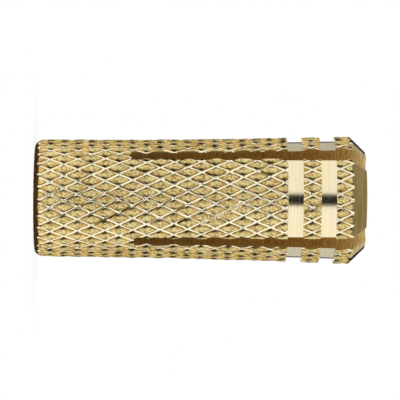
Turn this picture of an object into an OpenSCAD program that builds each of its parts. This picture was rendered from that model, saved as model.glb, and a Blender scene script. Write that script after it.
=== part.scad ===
// Brass expansion anchor for an M6 screw: one turned, knurled and cross-slotted sleeve.
// It stands on its flat mouth, with the slotted tip up and the axis along +Z.

/* [Sleeve] */
// Overall length, from the mouth to the tip
length = 22; // [20:0.5:30]
// Diameter over the knurl at the mouth, before the segments spread
body_d = 7.88; // [7.4:0.02:8.2]
// Outward slope of the spread segments near the tip, as radius per unit of length
spread_slope = 0.0265; // [0:0.0005:0.04]
// How far the segments' edges are forced open beyond their middles
edge_opening = 0.6; // [0:0.1:1]
// Radius of the rounded outer edge of the mouth
mouth_round = 0.6; // [0.2:0.05:0.8]
// Length of the bevel at the tip
tip_bevel = 1.07; // [0.6:0.01:1.4]
// Radius of the flat end of the tip
tip_r = 3.22; // [2.6:0.02:3.4]

/* [Knurl] */
// Number of knurl lines of each hand round the sleeve
knurl_starts = 28; // [24:2:36]
// Axial pitch of the left-hand lines
left_pitch = 1.7; // [1.4:0.01:2.4]
// Axial pitch of the right-hand lines
right_pitch = 1.95; // [1.4:0.01:2.4]
// Depth of the knurl lines
knurl_depth = 0.18; // [0.05:0.01:0.22]
// Width of each diamond's flat top, as a share of its own spacing
diamond_top = 0.6; // [0.4:0.05:0.85]
// How far below the mouth a row of crossings lies
knurl_low = 1.61; // [1:0.01:3]
// Turn of that row about the axis, in degrees
knurl_turn = 4.6; // [0:0.1:12.8]

/* [Turned grooves] */
// Height of the lower edge of each groove
groove_z = [16.77, 18.95]; // [16:0.01:20]
// Width of each groove along the sleeve
groove_w = 1; // [0.6:0.02:1.2]
// Depth of each groove below the knurl's crests, at the middle of a segment
groove_depth = 0.33; // [0.24:0.01:0.4]
// Radius of the curve of each segment's groove floor, flatter than the body
floor_curve_r = 4.7; // [4:0.1:6]

/* [Cross slots] */
// Height of each slot's root above the mouth
slot_root_z = [6.43, 6.65]; // [5:0.01:10]
// Direction of each slot round the axis, in degrees
slot_turns = [42.7, 136]; // [30:0.1:150]
// Width of the saw cuts, which the spread segments open towards the tip
slot_w = 0.64; // [0.4:0.02:0.8]
// How far each saw cut drifts sideways per unit of height
slot_drift = [0.003, 0.012]; // [-0.02:0.001:0.02]

/* [Screw bore] */
// Diameter of the M6 thread's minor bore
bore_d = 5; // [4.8:0.1:5.2]
// Width of the bevel at the bore's mouth
bore_bevel = 0.35; // [0.2:0.05:0.5]
// Height at which the bore starts to narrow towards the tip
taper_z = 14.5; // [12:0.5:16]
// Diameter of the bore at the tip
tip_bore_d = 3.8; // [3:0.1:4.6]

/* [Hidden] */
$fn = 96;
brass = [0.83, 0.68, 0.40];
over = 1;
body_r = body_d / 2;
bore_r = bore_d / 2;
tip_bore_r = tip_bore_d / 2;
ring_z = max(slot_root_z);
slot_mid_z = 13;

// The segments bend outwards along this stretch and run straight above it.
bend_z = 1;
bend_len = 14.3;

function spread(z) =
    let (t = max(0, z - bend_z))
    t < bend_len ? spread_slope * t * t / (2 * bend_len) : spread_slope * (t - bend_len / 2);

function crest_r(z) = body_r + spread(z);

// Below the slots the ring swells evenly. Above them each segment leans out along its own middle,
// which lies at a multiple of 90 degrees.
function swell(z) = min(spread(z), spread(ring_z));
function lean(z) = spread(z) - swell(z);

// A point of the straight bar at radius r, turn a and height z, moved out with its segment.
function spread_point(r, a, z) =
    let (
        middle = 90 * round(a / 90),
        off = a - middle,
        out = lean(z) * (1 + edge_opening * (1 - cos(off))),
        aside = lean(z) * edge_opening / 3 * sin(off)
    )
    [
        (r + swell(z)) * cos(a) + out * cos(middle) - aside * sin(middle),
        (r + swell(z)) * sin(a) + out * sin(middle) + aside * cos(middle),
        z
    ];

// The lines of both hands cross at the corners of the diamonds. The corners lie in rows round the
// sleeve, row_h apart, and each row is turned back from the one below by skew of a start.
row_h = left_pitch * right_pitch / (left_pitch + right_pitch);
skew = right_pitch / (left_pitch + right_pitch);
start_deg = 360 / knurl_starts;
rows = ceil((length + knurl_low + over) / row_h);

// A point of the lattice: row up the sleeve, place round it in starts, sink below the crest.
function lattice(row, place, sink) =
    spread_point(body_r - sink, knurl_turn + start_deg * (place - row * skew), row * row_h - knurl_low);

// The four top corners of the diamond whose centre is at (row, place): low, right, high, left.
// A step along the sleeve is one row, with the skew that keeps it straight up from the centre.
function diamond_tops(row, place) =
    let (h = diamond_top / 2)
    [for (s = [[-2, -1], [0, 1], [2, 1], [0, -1]])
        lattice(row + s[0] * h, place + s[1] * h, 0)];

corner_count = (rows + 1) * knurl_starts;
function corner(row, i) = row * knurl_starts + (i + knurl_starts) % knurl_starts;
function top(row, i, k) = corner_count + ((row - 1) * knurl_starts + i) * 4 + k;

function diamond_faces(row, i) =
    let (low = corner(row - 1, i), right = corner(row, i + 1), high = corner(row + 1, i + 1))
    let (left = corner(row, i), t = [for (k = [0:3]) top(row, i, k)])
    [
        [low, t[0], right], [t[0], t[1], right],
        [right, t[1], high], [t[1], t[2], high],
        [high, t[2], left], [t[2], t[3], left],
        [left, t[3], low], [t[3], t[0], low],
        [t[0], t[3], t[1]], [t[1], t[3], t[2]]
    ];

// A rod with the raised diamonds all round. Its zigzag ends lie outside the sleeve.
module knurled_rod() {
    corners = [for (row = [0:rows], i = [0:knurl_starts - 1]) lattice(row, i, knurl_depth)];
    tops = [for (row = [1:rows - 1], i = [0:knurl_starts - 1]) each diamond_tops(row, i + 0.5)];
    base = len(corners) + len(tops);
    ends = [[0, 0, -knurl_low - over], [0, 0, rows * row_h - knurl_low + over]];
    sides = [for (row = [1:rows - 1], i = [0:knurl_starts - 1]) each diamond_faces(row, i)];
    bottom = [for (i = [0:knurl_starts - 1]) each [
        [base, corner(0, i), corner(1, i + 1)],
        [base, corner(1, i), corner(0, i)]]];
    lid = [for (i = [0:knurl_starts - 1]) each [
        [base + 1, corner(rows, i), corner(rows - 1, i - 1)],
        [base + 1, corner(rows - 1, i), corner(rows, i)]]];
    polyhedron(points = concat(corners, tops, ends), faces = concat(sides, bottom, lid));
}

// The turned outline: rounded mouth, body left clear for the knurl, bevelled tip.
module turned_blank() {
    clear_r = body_r + spread(length) + over;
    round_z = mouth_round;
    rotate_extrude() {
        translate([0, round_z]) square([clear_r, length - tip_bevel - round_z]);
        square([body_r - mouth_round, round_z]);
        translate([body_r - mouth_round, round_z]) intersection() {
            circle(mouth_round);
            translate([0, -mouth_round]) square(mouth_round);
        }
        polygon([[0, length - tip_bevel], [crest_r(length - tip_bevel), length - tip_bevel],
            [tip_r, length], [0, length]]);
    }
}

// A post whose four sides are the segments' groove floors, each at floor_r in its middle.
module groove_floor_post(floor_r) {
    h = groove_w + 2 * over;
    back = floor_curve_r - floor_r;
    intersection() {
        translate([-back, 0, -over]) cylinder(r = floor_curve_r, h = h);
        translate([0, -back, -over]) cylinder(r = floor_curve_r, h = h);
        translate([back, 0, -over]) cylinder(r = floor_curve_r, h = h);
        translate([0, back, -over]) cylinder(r = floor_curve_r, h = h);
    }
}

module groove_rings() {
    for (z = groove_z)
        translate([0, 0, z]) difference() {
            cylinder(r = body_r + 2 * over, h = groove_w);
            groove_floor_post(crest_r(z + groove_w / 2) - groove_depth);
        }
}

module screw_bore() {
    translate([0, 0, -over]) cylinder(r = bore_r, h = taper_z + over);
    translate([0, 0, -over]) cylinder(r1 = bore_r + bore_bevel + over, r2 = bore_r, h = bore_bevel + over);
    translate([0, 0, taper_z]) cylinder(r1 = bore_r, r2 = tip_bore_r, h = length - taper_z);
    translate([0, 0, length]) cylinder(r = tip_bore_r, h = over);
}

function half_gap(z) = slot_w / 2 + lean(z) / sqrt(2);
function side(i, z) = slot_drift[i] * (z - slot_mid_z);

// Two crossed saw cuts. Their sides follow the spread segments in short flat lengths.
module cross_slots() {
    for (i = [0:1]) {
        levels = [slot_root_z[i], 9, 11, 13, bend_z + bend_len, length + over];
        near = [for (z = levels) [side(i, z) - half_gap(z), z]];
        far = [for (k = [len(levels) - 1:-1:0]) [side(i, levels[k]) + half_gap(levels[k]), levels[k]]];
        rotate([90, 0, slot_turns[i] + 90])
            linear_extrude(4 * body_r, center = true)
                polygon(concat(near, far));
    }
}

module anchor_sleeve() {
    color(brass) difference() {
        intersection() {
            knurled_rod();
            turned_blank();
        }
        groove_rings();
        screw_bore();
        cross_slots();
    }
}

anchor_sleeve();
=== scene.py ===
"""A brass expansion anchor: one knurled, grooved and cross-slotted sleeve, standing on its mouth."""

import math
import random

import bmesh
import bpy
from mathutils import Matrix, Vector


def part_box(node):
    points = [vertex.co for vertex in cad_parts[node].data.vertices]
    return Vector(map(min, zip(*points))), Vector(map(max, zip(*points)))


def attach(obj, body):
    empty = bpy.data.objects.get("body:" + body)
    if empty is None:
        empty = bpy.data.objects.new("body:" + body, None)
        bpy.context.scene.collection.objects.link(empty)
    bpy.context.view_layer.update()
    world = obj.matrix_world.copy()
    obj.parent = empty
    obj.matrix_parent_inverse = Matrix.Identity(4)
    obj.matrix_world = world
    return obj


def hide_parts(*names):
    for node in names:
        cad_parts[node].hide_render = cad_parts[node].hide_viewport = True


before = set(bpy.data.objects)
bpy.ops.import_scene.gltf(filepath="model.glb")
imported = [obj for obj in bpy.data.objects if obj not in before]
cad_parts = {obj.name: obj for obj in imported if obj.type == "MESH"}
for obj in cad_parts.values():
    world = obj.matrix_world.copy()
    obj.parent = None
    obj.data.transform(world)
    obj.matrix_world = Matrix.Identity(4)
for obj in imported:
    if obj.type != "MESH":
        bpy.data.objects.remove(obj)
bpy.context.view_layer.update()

# --- Knurled bar ---------------------------------------------------------------------------
# The sleeve starts as round brass bar, rolled between two knurling wheels. Each wheel presses
# one hand of narrow grooves, and what stands between the grooves is a rough raised diamond.
# The bar is drawn in millimetres about the sleeve's axis, and is scaled when it is finished.

MM = 0.001
sleeve_low, sleeve_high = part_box("anchor_sleeve")
LENGTH = (sleeve_high[2] - sleeve_low[2]) / MM
# How far a cutting solid runs past what it cuts.
OVER = 1.0
BODY_R = 3.94
# The mouth's outer edge is rounded, and is smooth up to the rim's height.
MOUTH_ROUND = 0.6
RIM_HEIGHT = 0.17

KNURL_STARTS = 28
LEFT_PITCH = 1.70
RIGHT_PITCH = 1.95
ROW_HEIGHT = LEFT_PITCH * RIGHT_PITCH / (LEFT_PITCH + RIGHT_PITCH)
KNURL_LOW = 1.61
KNURL_TURN = math.radians(5.28)
KNURL_DEPTH = 0.18
BAR_SEED = 7

# Beside some diamonds a groove is pressed less, by this share of its depth at most. Where two
# grooves cross they lie deeper by the other share.
LIGHT_PRESS = 0.12
CROSSING = 0.1

# A diamond's top is what is cut by less than a share of the depth. It lies below the crest by a
# sink, a tilt, a level of its own and a grain, each so many times the top's unevenness.
TOP_SHARE = 0.5
TOP_UNEVEN = 0.022
TOP_SINK = 1.2
TOP_TILT = 3
TOP_LEVEL = 0.5
TOP_GRAIN = 0.6

# One left-hand groove is scuffed along a stretch, and keeps an uneven share of its depth there.
WORN_LINE = 1
WORN_REACH = 0.2
WORN_Z = (11.0, 13.8)
WORN_SHARE = (0.25, 0.9)

# Places across a diamond, from one groove to the next, and the share of the depth cut there.
CUT = (
    (0.0, 1.0),
    (0.08, 0.9),
    (0.125, 0.44),
    (0.19, 0.13),
    (0.31, 0.02),
    (0.5, 0.0),
    (0.69, 0.02),
    (0.81, 0.13),
    (0.875, 0.44),
    (0.92, 0.9),
)


def solid(name, points, faces, material):
    """A mesh object of one finish, with its faces turned outwards."""
    mesh = bpy.data.meshes.new(name)
    mesh.from_pydata(points, [], faces)
    mesh.materials.append(material)
    shape = bmesh.new()
    shape.from_mesh(mesh)
    bmesh.ops.recalc_face_normals(shape, faces=shape.faces)
    shape.to_mesh(mesh)
    shape.free()
    thing = bpy.data.objects.new(name, mesh)
    bpy.context.collection.objects.link(thing)
    return thing


def wound(name, around, along, point, low_tip, high_tip, material):
    """A closed rod wound from a skewed grid: point(i, m) is the place i steps round and m up."""
    points = [point(i, m) for i in range(around) for m in range(along + 1)]

    def at(i, m):
        return (i % around) * (along + 1) + m

    faces = [
        (at(i, m), at(i + 1, m + 1), at(i + 1, m), at(i, m - 1))
        for i in range(around)
        for m in range(1, along)
    ]
    low, high = len(points), len(points) + 1
    points += [low_tip, high_tip]
    for i in range(around):
        faces += [(low, at(i, 1), at(i, 0)), (low, at(i, 0), at(i + 1, 1))]
        faces += [(high, at(i, along), at(i, along - 1))]
        faces += [(high, at(i, along - 1), at(i + 1, along))]
    return solid(name, points, faces, material)


def worn(across_left, z):
    """Whether a place lies in the scuffed stretch. across_left counts the left-hand grooves."""
    return abs(across_left - WORN_LINE) < WORN_REACH and WORN_Z[0] < z < WORN_Z[1]


def knurled_bar(material):
    steps = len(CUT)
    rows = math.ceil((LENGTH + KNURL_LOW + OVER) / ROW_HEIGHT)
    chance = random.Random(BAR_SEED)
    tilts = {}

    def line_place(step):
        return step // steps + CUT[step % steps][0]

    def point(i, m):
        across_left, across_right = line_place(i), line_place(i - m)
        z = (across_left - across_right) * ROW_HEIGHT - KNURL_LOW
        turn = math.tau / KNURL_STARTS * (across_left - z / LEFT_PITCH) + KNURL_TURN
        diamond = (i // steps, (i - m) // steps)
        if diamond not in tilts:
            tilts[diamond] = [chance.uniform(-1, 1) for _ in range(5)]
        a, b, c, left_press, right_press = tilts[diamond]
        left = CUT[i % steps][1] * (1 - LIGHT_PRESS * max(0.0, left_press))
        right = CUT[(i - m) % steps][1] * (1 - LIGHT_PRESS * max(0.0, right_press))
        share = max(left, right) + CROSSING * left * right
        if worn(across_left, z):
            share *= chance.uniform(*WORN_SHARE)
        sink = KNURL_DEPTH * share
        if share < TOP_SHARE:
            u, v = across_left % 1 - 0.5, across_right % 1 - 0.5
            uneven = TOP_SINK + a * u * TOP_TILT + b * v * TOP_TILT + TOP_LEVEL * c
            sink += TOP_UNEVEN * (uneven + chance.uniform(-TOP_GRAIN, TOP_GRAIN))
        low = MOUTH_ROUND - min(MOUTH_ROUND, max(z, RIM_HEIGHT / 2))
        r = BODY_R - max(0.0, sink) - (MOUTH_ROUND - math.sqrt(MOUTH_ROUND ** 2 - low ** 2))
        return (r * math.cos(turn), r * math.sin(turn), z)

    return wound(
        "anchor_sleeve_brass",
        KNURL_STARTS * steps,
        rows * steps,
        point,
        (0, 0, -KNURL_LOW - OVER),
        (0, 0, LENGTH + 3 * OVER),
        material,
    )


def linear(hex_colour):
    """An sRGB hex colour as linear red, green, blue and full alpha."""
    parts = [int(hex_colour[i : i + 2], 16) / 255 for i in (1, 3, 5)]
    return [c / 12.92 if c <= 0.04045 else ((c + 0.055) / 1.055) ** 2.4 for c in parts] + [1.0]


def add(tree, kind, inputs=None, **settings):
    """Adds a node with its settings, and sets or links its inputs."""
    node = tree.nodes.new(kind)
    for name, value in settings.items():
        setattr(node, name, value)
    for name, value in (inputs or {}).items():
        if isinstance(value, bpy.types.NodeSocket):
            tree.links.new(value, node.inputs[name])
        else:
            node.inputs[name].default_value = value
    return node


def new_material(name):
    material = bpy.data.materials.new(name)
    material.use_nodes = True
    material.node_tree.nodes.clear()
    return material, material.node_tree


def noise(tree, vector, size, detail, roughness=0.5):
    """Noise of a size, which is in the vector's own unit."""
    return add(tree, "ShaderNodeTexNoise", {"Vector": vector, "Scale": 1 / size, "Detail": detail,
        "Roughness": roughness}).outputs["Fac"]


def between(tree, value, low, high):
    """How far a value has come from low to high, from 0 to 1."""
    return add(tree, "ShaderNodeMapRange", {"Value": value, "From Min": low,
        "From Max": high}).outputs["Result"]


def blend(tree, factor, first, hex_colour):
    """A mix from a colour, which is a hex colour or a node's, to a hex colour."""
    first = linear(first) if isinstance(first, str) else first
    return add(tree, "ShaderNodeMix", {"Factor": factor, "A": first, "B": linear(hex_colour)},
        data_type="RGBA").outputs["Result"]


def brass(tree, colour, roughness, height, relief):
    """Bare metal with a colour, a roughness and a bump that is relief millimetres high."""
    bump = add(tree, "ShaderNodeBump", {"Height": height, "Strength": 1.0, "Distance": relief * MM})
    shader = add(tree, "ShaderNodeBsdfPrincipled", {"Base Color": colour, "Metallic": 1.0,
        "Roughness": roughness, "Normal": bump.outputs["Normal"]})
    add(tree, "ShaderNodeOutputMaterial", {"Surface": shader.outputs["BSDF"]})


# Knurled brass: the wheels burnish the grooves' floors pale and bright and polish their flanks.
# The diamonds keep a torn skin, dull, grainy and unevenly tarnished. Two corners of each are
# darkened with painted shade, dark spots for the shadow and dark reflection in those hollows, so
# the eye sees bright lines round golden lozenges with small dark ends.
STAIN_SIZE = 0.16 * MM
TORN_SIZE = 0.12
TORN_RELIEF = 0.1
MOTTLE_RANGE = (0.84, 1.06)
FLANK_DEPTH = (0.3, 0.55)
FLOOR_DEPTH = (0.62, 0.85)
TOP_DULLNESS = 0.56
FLANK_DULLNESS = 0.16
FLOOR_DULLER = 0.03


def knurled_brass():
    material, tree = new_material("knurled_brass")
    place = add(tree, "ShaderNodeTexCoord").outputs["Object"]
    wrap = add(tree, "ShaderNodeAttribute", attribute_name="wrap").outputs["Vector"]
    depth = add(tree, "ShaderNodeAttribute", attribute_name="depth").outputs["Fac"]
    painted_shade = add(tree, "ShaderNodeAttribute", attribute_name="painted_shade").outputs["Fac"]
    stain = noise(tree, place, STAIN_SIZE, detail=3.0, roughness=0.7)
    torn = noise(tree, wrap, TORN_SIZE, detail=3.0, roughness=0.6)
    mottle = add(tree, "ShaderNodeMath", {0: stain, 1: torn}, operation="ADD").outputs[0]
    flank = between(tree, depth, *FLANK_DEPTH)
    floor = between(tree, depth, *FLOOR_DEPTH)
    tone = blend(tree, between(tree, mottle, *MOTTLE_RANGE), "#C29A50", "#FFEFAE")
    side = blend(tree, flank, tone, "#E0B452")
    # Painted shade: dark spots at two corners of each diamond, for the shadow and dark reflection
    # there.
    shade_darkened = blend(tree, painted_shade, side, "#42341C")
    colour = blend(tree, floor, shade_darkened, "#FEF4D2")
    rough = add(tree, "ShaderNodeMapRange", {"Value": flank, "To Min": TOP_DULLNESS,
        "To Max": FLANK_DULLNESS}).outputs["Result"]
    rough = add(tree, "ShaderNodeMath", {0: floor, 1: FLOOR_DULLER, 2: rough},
        operation="MULTIPLY_ADD").outputs[0]
    relief = add(tree, "ShaderNodeMath", {0: 1.0, 1: floor}, operation="SUBTRACT").outputs[0]
    height = add(tree, "ShaderNodeMath", {0: torn, 1: relief}, operation="MULTIPLY").outputs[0]
    brass(tree, colour, rough, height, TORN_RELIEF)
    return material


bar = knurled_bar(knurled_brass())

# --- Turned outline --------------------------------------------------------------------------
# The knurled bar is turned to length: the mouth's outer edge is rounded, the tip bevelled, and
# two grooves are cut through the knurl near the tip, with floors a little flatter than the body.

# The tip's radius is that of the straight bar, before its segments are spread.
TIP_BEVEL = 1.07
TIP_R = 2.87
GROOVE_Z = (16.77, 18.95)
GROOVE_WIDTH = 1.0
GROOVE_DEPTH = 0.33
FLOOR_CURVE_R = 4.26
TURNING_STEPS = 192
RIM_STEPS = 5
QUARTER = math.pi / 2


def lathe(name, outline, material, swell=None):
    """A closed solid of revolution. Its (radius, height) corners end on the axis or close a ring."""
    points, rings = [], []
    for radius, height in outline:
        if radius == 0:
            rings.append([len(points)] * TURNING_STEPS)
            points.append((0, 0, height))
            continue
        rings.append([len(points) + k for k in range(TURNING_STEPS)])
        for k in range(TURNING_STEPS):
            turn = math.tau * k / TURNING_STEPS
            reach = radius + (swell(turn) if swell else 0.0)
            points.append((reach * math.cos(turn), reach * math.sin(turn), height))
    if outline[0][0] > 0:
        rings.append(rings[0])
    faces = []
    for lower, upper in zip(rings, rings[1:]):
        for k in range(TURNING_STEPS):
            j = (k + 1) % TURNING_STEPS
            corners = [lower[k], lower[j], upper[j], upper[k]]
            faces.append(list(dict.fromkeys(corners)))
    return solid(name, points, faces, material)


def cut(target, tool, operation="DIFFERENCE"):
    """Cuts a solid with a tool solid and takes the tool away. New faces take the tool's finish."""
    change = target.modifiers.new("cut", "BOOLEAN")
    change.operation = operation
    change.solver = "MANIFOLD"
    change.material_mode = "TRANSFER"
    change.object = tool
    view = bpy.context.evaluated_depsgraph_get()
    done = bpy.data.meshes.new_from_object(target.evaluated_get(view))
    target.modifiers.clear()
    old = target.data
    target.data = done
    bpy.data.meshes.remove(old)
    bpy.data.objects.remove(tool)


# Turned brass: the tool's edge leaves fine bright rings, which pull each reflection out along
# the sleeve. The grooves are freshly cut and pale, and the bevel's slower cut is a deeper gold.
MARK_SIZE = 0.06 * MM
MARK_RANGE = (0.35, 0.65)


def tooled_brass(name, colours, roughness, relief=0.006, across=0.02, detail=2.0):
    """Brass with a tool's fine marks round the sleeve, of relief in millimetres.

    across is how fast the marks change along themselves, as a share of how fast they do upwards."""
    material, tree = new_material(name)
    place = add(tree, "ShaderNodeTexCoord").outputs["Object"]
    drawn_out = add(tree, "ShaderNodeVectorMath", {0: place, 1: (across, across, 1.0)},
        operation="MULTIPLY").outputs[0]
    marks = noise(tree, drawn_out, MARK_SIZE, detail)
    brass(tree, blend(tree, between(tree, marks, *MARK_RANGE), *colours), roughness, marks, relief)
    return material


turned = tooled_brass("turned_brass", ("#F5E6BC", "#FCEFCC"), roughness=0.15)
bevelled = tooled_brass("bevelled_brass", ("#D0AA60", "#FADC98"), roughness=0.15)
rim_arc = math.acos(1 - RIM_HEIGHT / MOUTH_ROUND)
mouth_edge = [
    (BODY_R - MOUTH_ROUND + MOUTH_ROUND * math.sin(a), MOUTH_ROUND - MOUTH_ROUND * math.cos(a))
    for a in [rim_arc * k / RIM_STEPS for k in range(RIM_STEPS + 1)]
]
clear = BODY_R + OVER
bevel_z = LENGTH - TIP_BEVEL
outline = [(0, 0)] + mouth_edge + [(clear, RIM_HEIGHT), (clear, bevel_z), (BODY_R, bevel_z)]
outline += [(TIP_R, LENGTH), (0, LENGTH)]
cut(bar, lathe("turned_outline", outline, bevelled), "INTERSECT")


def flatter(turn):
    """How much further out a groove's floor lies than at the middle of its segment."""
    off = (turn + QUARTER / 2) % QUARTER - QUARTER / 2
    floor_r = BODY_R - GROOVE_DEPTH
    back = FLOOR_CURVE_R - floor_r
    return math.sqrt(FLOOR_CURVE_R ** 2 - (back * math.sin(off)) ** 2) - back * math.cos(off) - floor_r


for z in GROOVE_Z:
    floor_r = BODY_R - GROOVE_DEPTH
    ring = [(floor_r, z), (clear, z), (clear, z + GROOVE_WIDTH), (floor_r, z + GROOVE_WIDTH)]
    cut(bar, lathe("groove_ring", ring, turned, flatter))

# --- Screw bore ------------------------------------------------------------------------------
# A tapping-size hole is drilled from the mouth and tapped M6 with a 1 mm pitch. Towards the tip
# it narrows, so that the screw's end pushes the four segments apart.

BORE_R = 2.5
THREAD_R = 3.0
THREAD_PITCH = 1.0
BORE_BEVEL = 0.35
TAPER_Z = 14.5
TIP_BORE_R = 1.6
THREAD_STEPS = 72
# The tap starts this many turns below the mouth, and the reamer as many below the taper.
LAP_TURNS = 2

# Places along one turn of the thread, and how far out the cut reaches there.
THREAD_CUT = ((0.0, 0.0), (0.25, 0.0), (0.56, 1.0), (0.69, 1.0))


def thread_tap(material):
    """The space that the thread leaves: a helix of four corners a turn, closed at both ends."""
    steps = len(THREAD_CUT)
    turns = math.floor(TAPER_Z / THREAD_PITCH) + 1
    points, faces = [], []
    rows = turns * steps
    for k in range(THREAD_STEPS):
        turn = k / THREAD_STEPS
        for j in range(rows + 1):
            along, out = THREAD_CUT[j % steps]
            z = (j // steps + along + turn - LAP_TURNS) * THREAD_PITCH
            if z >= TAPER_Z - THREAD_PITCH:
                out = 0.0
            r = BORE_R + (THREAD_R - BORE_R) * out
            points.append((r * math.cos(math.tau * turn), r * math.sin(math.tau * turn), z))

    def at(k, j):
        if k < THREAD_STEPS:
            return k * (rows + 1) + j
        return min(j + steps, rows)

    low, high = len(points), len(points) + 1
    points += [(0, 0, -(LAP_TURNS + 1) * THREAD_PITCH), (0, 0, (turns - 1) * THREAD_PITCH)]
    for k in range(THREAD_STEPS):
        last = rows - steps if k == THREAD_STEPS - 1 else rows
        for j in range(last):
            faces.append((at(k, j), at(k + 1, j), at(k + 1, j + 1), at(k, j + 1)))
        faces.append((low, at(k, 0), at(k + 1, 0)))
        faces.append((high, at(k, last), at(k + 1, last)))
    for j in range(steps):
        faces.append((low, at(0, j), at(0, j + 1)))
        top = rows - steps + j
        faces.append((high, at(THREAD_STEPS - 1, top), at(THREAD_STEPS - 1, top + 1)))
    return solid("tap", points, faces, material)


# Bored brass: the drill and the tap leave rings too, but duller ones, and a browner gold.
bored = tooled_brass("bored_brass", ("#B88A44", "#D6AA60"), roughness=0.34)
cut(bar, thread_tap(bored))
taper_start = TAPER_Z - LAP_TURNS * THREAD_PITCH
taper = [(0, taper_start), (BORE_R, taper_start), (BORE_R, TAPER_Z), (TIP_BORE_R, LENGTH)]
taper += [(TIP_BORE_R, LENGTH + OVER), (0, LENGTH + OVER)]
cut(bar, lathe("taper_reamer", taper, bored))
bevel = [(0, -OVER), (BORE_R + BORE_BEVEL + OVER, -OVER), (BORE_R, BORE_BEVEL), (0, BORE_BEVEL)]
cut(bar, lathe("bevel_drill", bevel, bored))

# --- Cross slots -----------------------------------------------------------------------------
# Two crossed saw cuts divide the tip into four segments, which are spread a little, so the cuts
# widen towards the tip. Each cut drifts a little sideways, as the saw did.

SLOT_TURNS = (42.7, 136)
SLOT_ROOT_Z = (6.43, 6.65)
SLOT_WIDTH = 0.64
SLOT_DRIFT = (0.003, 0.012)
SLOT_MIDDLE_Z = 13.0
SAW_REACH = 6.0
SAW_STEP = 0.5


def saw_cut(turn, root_z, drift, material):
    """A flat bar across the whole sleeve, from one slot's root to past the tip, in short lengths."""
    levels = [root_z]
    while levels[-1] < LENGTH + OVER:
        levels.append(levels[-1] + SAW_STEP)
    spin = Matrix.Rotation(math.radians(turn), 3, "Z")
    points = [
        spin @ Vector((x * SAW_REACH, y * SLOT_WIDTH / 2 + drift * (z - SLOT_MIDDLE_Z), z))
        for z in levels
        for x, y in ((-1, -1), (1, -1), (1, 1), (-1, 1))
    ]
    faces = [(0, 1, 2, 3), tuple(range(len(points) - 4, len(points)))]
    for k in range(0, len(points) - 4, 4):
        faces += [(k + j, k + (j + 1) % 4, k + 4 + (j + 1) % 4, k + 4 + j) for j in range(4)]
    return solid("saw_cut", points, faces, material)


# Sawn brass: the saw's teeth leave rough lines across the walls, which look a dull brown deep
# in the slots.
sawn = tooled_brass("sawn_brass", ("#E2BE74", "#FFEAAC"), roughness=0.5, relief=0.03, across=0.1,
    detail=3.0)
for turn, root_z, drift in zip(SLOT_TURNS, SLOT_ROOT_Z, SLOT_DRIFT):
    cut(bar, saw_cut(turn, root_z, drift, sawn))

# --- Spread segments -------------------------------------------------------------------------
# The four segments are bent outwards, each in one piece, and the ring below them swells a little.
# Before that each point notes how deep it lies in the knurl, how much painted shade darkens it,
# and its place in the torn skin, which is drawn out along the right-hand grooves.

SPREAD_SLOPE = 0.0265
# A segment's edges are forced out by this share more than its middle, and aside by a third of it.
EDGE_OPENING = 0.6
BEND_Z = 1.0
BEND_LENGTH = 14.3
RING_Z = max(SLOT_ROOT_Z)
CRISP_ANGLE = math.radians(35)
STREAK_LENGTH = 3.5
WORN_SEED = 5
WORN_DEPTH = (0.65, 1.0)

# Painted shade, a dark spot for the shadow and dark reflection in a hollow, lies near the two
# corners of a diamond that point round the sleeve: its place and size, in shares of the diamond,
# and how sharply it ends. The nudge keeps points on a groove's middle together on one side of it.
SHADE_SPOT_PLACE = (0.33, -0.05)
SHADE_SPOT_SIZE = (0.14, 0.2)
SHADE_SPOT_EDGE = 2.5
NUDGE = 1e-4


def spread(z):
    """How far a segment lies outwards at a height: it bends for BEND_LENGTH, then runs straight."""
    t = max(0.0, z - BEND_Z)
    if t < BEND_LENGTH:
        return SPREAD_SLOPE * t * t / (2 * BEND_LENGTH)
    return SPREAD_SLOPE * (t - BEND_LENGTH / 2)


def clamp(value):
    return min(1.0, max(0.0, value))


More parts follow.
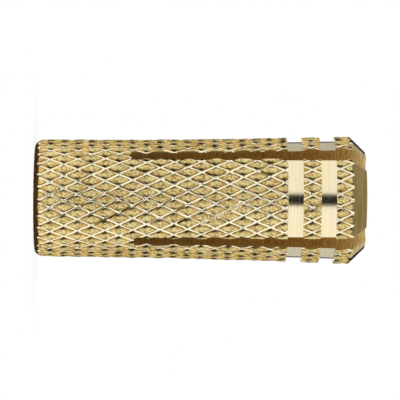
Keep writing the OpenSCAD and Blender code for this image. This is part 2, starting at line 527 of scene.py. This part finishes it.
def finish_sleeve(sleeve):
    mesh = sleeve.data
    kinds = {"depth": "FLOAT", "painted_shade": "FLOAT", "wrap": "FLOAT_VECTOR"}
    for name, kind in kinds.items():
        mesh.attributes.new(name, kind, "POINT")
    depth, painted_shade, wrap = (mesh.attributes[name].data for name in kinds)
    slant = math.atan(KNURL_STARTS * RIGHT_PITCH / (math.tau * BODY_R))
    chance = random.Random(WORN_SEED)
    for point, cut_depth, painted_shade_spot, skin in zip(mesh.vertices, depth, painted_shade, wrap):
        x, y, z = point.co
        turn = math.atan2(y, x)
        cut_depth.value = clamp((BODY_R - math.hypot(x, y)) / KNURL_DEPTH)
        along = BODY_R * turn * math.cos(slant) + z * math.sin(slant)
        across = BODY_R * turn * math.sin(slant) - z * math.cos(slant)
        skin.vector = (across, along / STREAK_LENGTH, 0)
        across_left = (turn - KNURL_TURN) * KNURL_STARTS / math.tau + z / LEFT_PITCH
        across_right = across_left - (z + KNURL_LOW) / ROW_HEIGHT
        u, v = (across_left + NUDGE) % 1 - 0.5, (across_right + NUDGE) % 1 - 0.5
        # Painted shade: how near the point lies to the dark spot at a diamond's corner.
        off = math.hypot((abs(u + v) / 2 - SHADE_SPOT_PLACE[0]) / SHADE_SPOT_SIZE[0],
            ((u - v) / 2 - SHADE_SPOT_PLACE[1]) / SHADE_SPOT_SIZE[1])
        painted_shade_spot.value = clamp(SHADE_SPOT_EDGE * (1 - off))
        if worn(across_left, z):
            cut_depth.value = chance.uniform(*WORN_DEPTH)
            painted_shade_spot.value = 0.0
        segment = round(turn / QUARTER) * QUARTER
        swell = min(spread(z), spread(RING_Z))
        lean = spread(z) - swell
        off_middle = turn - segment
        out = lean * (1 + EDGE_OPENING * (1 - math.cos(off_middle)))
        aside = lean * EDGE_OPENING / 3 * math.sin(off_middle)
        point.co.x = x + swell * math.cos(turn) + out * math.cos(segment) - aside * math.sin(segment)
        point.co.y = y + swell * math.sin(turn) + out * math.sin(segment) + aside * math.cos(segment)
    mesh.transform(Matrix.Scale(MM, 4))
    mesh.shade_smooth()
    mesh.set_sharp_from_angle(angle=CRISP_ANGLE)


finish_sleeve(bar)
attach(bar, "root")
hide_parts("anchor_sleeve")

# --- Studio ----------------------------------------------------------------------------------
# A plain pale floor with a pale wall all round, and two soft boxes on either side of the sleeve.
# Places are given by their turn from the camera's direction, in degrees, and their reach.

FLOOR_R = 1.2
WALL_HEIGHT = 0.6
STAGE_STEPS = 64
MATT_WHITE = (0.9, 0.9, 0.9, 1)
WORLD_GLOW = 0.3

# The floor's own shadow: its strength, and where it starts to fade and has gone.
SHADOW_SHARE = 0.12
SHADOW_NEAR = 0.004
SHADOW_FAR = 0.009


def studio_white(name, shadow_share):
    """White to the camera and in reflections, and an ordinary matt white to all other light.

    Near the sleeve's foot it stays matt by a share, so that it keeps the sleeve's shadow."""
    material, tree = new_material(name)
    ray = add(tree, "ShaderNodeLightPath").outputs
    seen = add(tree, "ShaderNodeMath", {0: ray["Is Camera Ray"], 1: ray["Is Glossy Ray"]})
    seen = add(tree, "ShaderNodeMath", {0: seen.outputs[0], 1: ray["Is Transmission Ray"]},
        use_clamp=True)
    place = add(tree, "ShaderNodeTexCoord").outputs["Object"]
    away = add(tree, "ShaderNodeVectorMath", {0: place}, operation="LENGTH").outputs["Value"]
    plain = add(tree, "ShaderNodeMapRange", {"Value": away, "From Min": SHADOW_NEAR,
        "From Max": SHADOW_FAR, "To Min": 1 - shadow_share, "To Max": 1.0})
    share = add(tree, "ShaderNodeMath", {0: seen.outputs[0], 1: plain.outputs["Result"]},
        operation="MULTIPLY")
    matt = add(tree, "ShaderNodeBsdfDiffuse", {"Color": MATT_WHITE})
    glow = add(tree, "ShaderNodeEmission", {"Color": (1, 1, 1, 1), "Strength": 1.0})
    mix = add(tree, "ShaderNodeMixShader", {0: share.outputs[0], 1: matt.outputs[0],
        2: glow.outputs[0]})
    add(tree, "ShaderNodeOutputMaterial", {"Surface": mix.outputs[0]})
    return material


def stage_mesh(name, points, faces, material):
    mesh = bpy.data.meshes.new(name)
    mesh.from_pydata(points, [], faces)
    mesh.materials.append(material)
    thing = bpy.data.objects.new(name, mesh)
    bpy.context.collection.objects.link(thing)
    return thing


rim_turns = [math.tau * k / STAGE_STEPS for k in range(STAGE_STEPS)]
rim = [(FLOOR_R * math.cos(turn), FLOOR_R * math.sin(turn)) for turn in rim_turns]
stage_mesh("floor", [(x, y, 0) for x, y in rim], [range(STAGE_STEPS)],
    studio_white("floor_white", SHADOW_SHARE))
panels = [(k, (k + 1) % STAGE_STEPS) for k in range(STAGE_STEPS)]
stage_mesh("wall", [(x, y, z) for z in (0, WALL_HEIGHT) for x, y in rim],
    [(j, k, STAGE_STEPS + k, STAGE_STEPS + j) for j, k in panels], studio_white("wall_white", 0.0))

# --- Soft boxes and cards ----------------------------------------------------------------------
# Bright brass shows what stands round it. Dark cards, which only reflections see, give it its
# dark lines: one round the camera and on along the table, the boxes' backs, a sheet on the floor
# on either side, and two flags behind. A brown disc at its foot is painted shade: it stands for
# the shaded floor round the foot that the mouth's edge reflects, and darkens that edge.

BOX_TOP = 0.3
# Each box: the turn and reach of its two ends, and how bright it looks on either side.
BOXES = (
    ((10.5, 0.19), (110, 0.25), {-1: 0.95, 1: 1.0}),
    ((110, 0.25), (158, 0.25), {-1: 0.5, 1: 0.6}),
)
BOX_BACK = 1.02
CARD_FAR = (9.5, 0.235)
CARD_TOP = 0.15
TABLE_NEAR = (38, 0.012)
SIDE_SHEET = ((95, 0.0045), (95, 0.25), (165, 0.25), (165, 0.0045))
FLAG = ((158, 0.3), (178, 0.3))
FLAG_TOP = 0.15
FOOT_R = 0.00412
FOOT_STEPS = 24
# How far above the floor a card lies or starts.
LIFT = 0.02 * MM


def floor_place(turn, reach, side):
    """A place on the floor, turned to one side: -1 is above the sleeve to the camera, 1 below."""
    return (side * reach * math.sin(math.radians(turn)), -reach * math.cos(math.radians(turn)))


def laid(places):
    """A sheet that lies on the floor."""
    return [(*place, LIFT) for place in places]


def upright(near, far, top):
    """A sheet that stands on the floor between two places."""
    return [(*near, LIFT), (*far, LIFT), (*far, top), (*near, top)]


def soft_box(near, far, glow):
    """An upright soft box between two floor places. It looks as bright as glow, where 1 is white."""
    near, far = Vector((*near, 0)), Vector((*far, 0))
    data = bpy.data.lights.new("soft_box", "AREA")
    data.shape = "RECTANGLE"
    data.size, data.size_y = (far - near).length, BOX_TOP
    data.energy = glow * math.pi * data.size * BOX_TOP
    lamp = bpy.data.objects.new("soft_box", data)
    middle = (near + far) / 2
    along = (far - near).normalized()
    back = Vector((along.y, -along.x, 0))
    if back.dot(middle) < 0:
        back = -back
    facing = Matrix((along, back.cross(along), back)).transposed()
    raised = middle + Vector((0, 0, BOX_TOP / 2))
    lamp.matrix_world = Matrix.Translation(raised) @ facing.to_4x4()
    lamp.visible_camera = False
    bpy.context.collection.objects.link(lamp)


def card(name, sheets, hex_colour):
    """Matt sheets in one mesh, which only reflections see."""
    material, tree = new_material(name)
    matt = add(tree, "ShaderNodeBsdfDiffuse", {"Color": linear(hex_colour)})
    add(tree, "ShaderNodeOutputMaterial", {"Surface": matt.outputs[0]})
    points, faces = [], []
    for sheet in sheets:
        faces.append(range(len(points), len(points) + len(sheet)))
        points += sheet
    thing = stage_mesh(name, points, faces, material)
    thing.visible_camera = False
    thing.visible_diffuse = False
    thing.visible_shadow = False


far_ends = [floor_place(*CARD_FAR, side) for side in (-1, 1)]
near_ends = [floor_place(*TABLE_NEAR, side) for side in (1, -1)]
cards = [upright(*far_ends, CARD_TOP), laid(far_ends + near_ends)]
for side in (-1, 1):
    for (turn, reach), (far_turn, far_reach), glows in BOXES:
        soft_box(floor_place(turn, reach, side), floor_place(far_turn, far_reach, side), glows[side])
        cards.append(upright(floor_place(turn, reach * BOX_BACK, side),
            floor_place(far_turn, far_reach * BOX_BACK, side), BOX_TOP))
    cards.append(laid(floor_place(*corner, side) for corner in SIDE_SHEET))
    cards.append(upright(*(floor_place(*end, side) for end in FLAG), FLAG_TOP))
card("dark_card", cards, "#1C1A16")
# Painted shade: a brown disc under the foot, for the shaded floor that the mouth's edge reflects.
foot = laid(floor_place(360 * k / FOOT_STEPS, FOOT_R, 1) for k in range(FOOT_STEPS))
card("foot_painted_shade", [foot], "#5C4830")

world = bpy.data.worlds.new("studio")
bpy.context.scene.world = world
world.use_nodes = True
background = world.node_tree.nodes["Background"]
background.inputs["Color"].default_value = (1, 1, 1, 1)
background.inputs["Strength"].default_value = WORLD_GLOW

# --- Camera ------------------------------------------------------------------------------------
# It looks level at the sleeve's middle, with its own right along the sleeve's axis, so that the
# standing sleeve lies across its view with the mouth to the left.

CAMERA_DISTANCE = 0.2
VIEW_WIDTH = 0.02675
PIXEL = VIEW_WIDTH / 400
SENSOR = 36.0
CLIP_START = 0.001
ROLL = math.radians(0.43)
YAW = math.radians(1.0)
SHIFT_RIGHT = 0.5 * PIXEL
SHIFT_UP = -0.9 * PIXEL

camera_data = bpy.data.cameras.new("camera")
camera_data.sensor_width = SENSOR
camera_data.lens = SENSOR * CAMERA_DISTANCE / VIEW_WIDTH
camera_data.clip_start = CLIP_START
camera = bpy.data.objects.new("camera", camera_data)
bpy.context.collection.objects.link(camera)
back = Vector((0, -math.cos(YAW), -math.sin(YAW)))
right = Vector((-math.sin(ROLL), 0, math.cos(ROLL)))
right = (right - back * right.dot(back)).normalized()
up = back.cross(right)
middle = Vector((0, 0, LENGTH * MM / 2))
place = middle + back * CAMERA_DISTANCE + right * SHIFT_RIGHT + up * SHIFT_UP
camera.matrix_world = Matrix.Translation(place) @ Matrix((right, up, back)).transposed().to_4x4()
bpy.context.scene.camera = camera
bpy.context.scene.view_settings.view_transform = "Standard"
